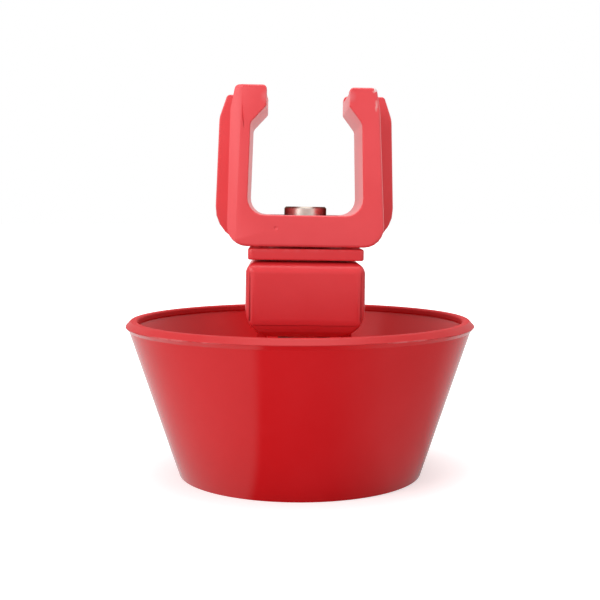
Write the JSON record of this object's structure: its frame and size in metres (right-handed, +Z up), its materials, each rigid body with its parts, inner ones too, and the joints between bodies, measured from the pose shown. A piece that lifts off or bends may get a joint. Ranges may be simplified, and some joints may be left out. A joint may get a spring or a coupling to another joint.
{
  "type": "poultry drinking cup",
  "caption": "Conical red drinking cup for poultry, hung below a steel nipple valve by a snap clip for a square water pipe.",
  "frame": {"origin": "centre of the cup's base, on the surface that it stands on", "axes": "+Z up, +Y along the water pipe from the clip's narrow flange to its wide one, +X across the pipe"},
  "size_m": [0.0738, 0.0738, 0.0813],
  "materials": {
    "red_plastic": "glossy moulded plastic",
    "steel": "turned and polished stainless steel",
    "black_rubber": "matte moulded rubber"
  },
  "bodies": {
    "drinker": {"cup": "red_plastic", "neck_block": "red_plastic", "collar_plate": "red_plastic", "pipe_clip": "red_plastic", "inlet_seal": "black_rubber", "nipple_body": "steel", "valve_seat": "black_rubber"},
    "stem": {"valve_stem": "steel"},
    "trigger": {"trigger_pin": "steel"}
  },
  "joints": [
    {"name": "valve_lift", "type": "slide", "parent": "drinker", "child": "stem", "axis": [0.014, 0, 0.9999], "range_m": [0, 0.001]},
    {"name": "trigger_tilt", "type": "hinge", "parent": "stem", "child": "trigger", "pos_m": [0.00079, -0.0025, 0.02805], "axis": [0.9999, 0, -0.014], "range_deg": [0, 8]}
  ]
}
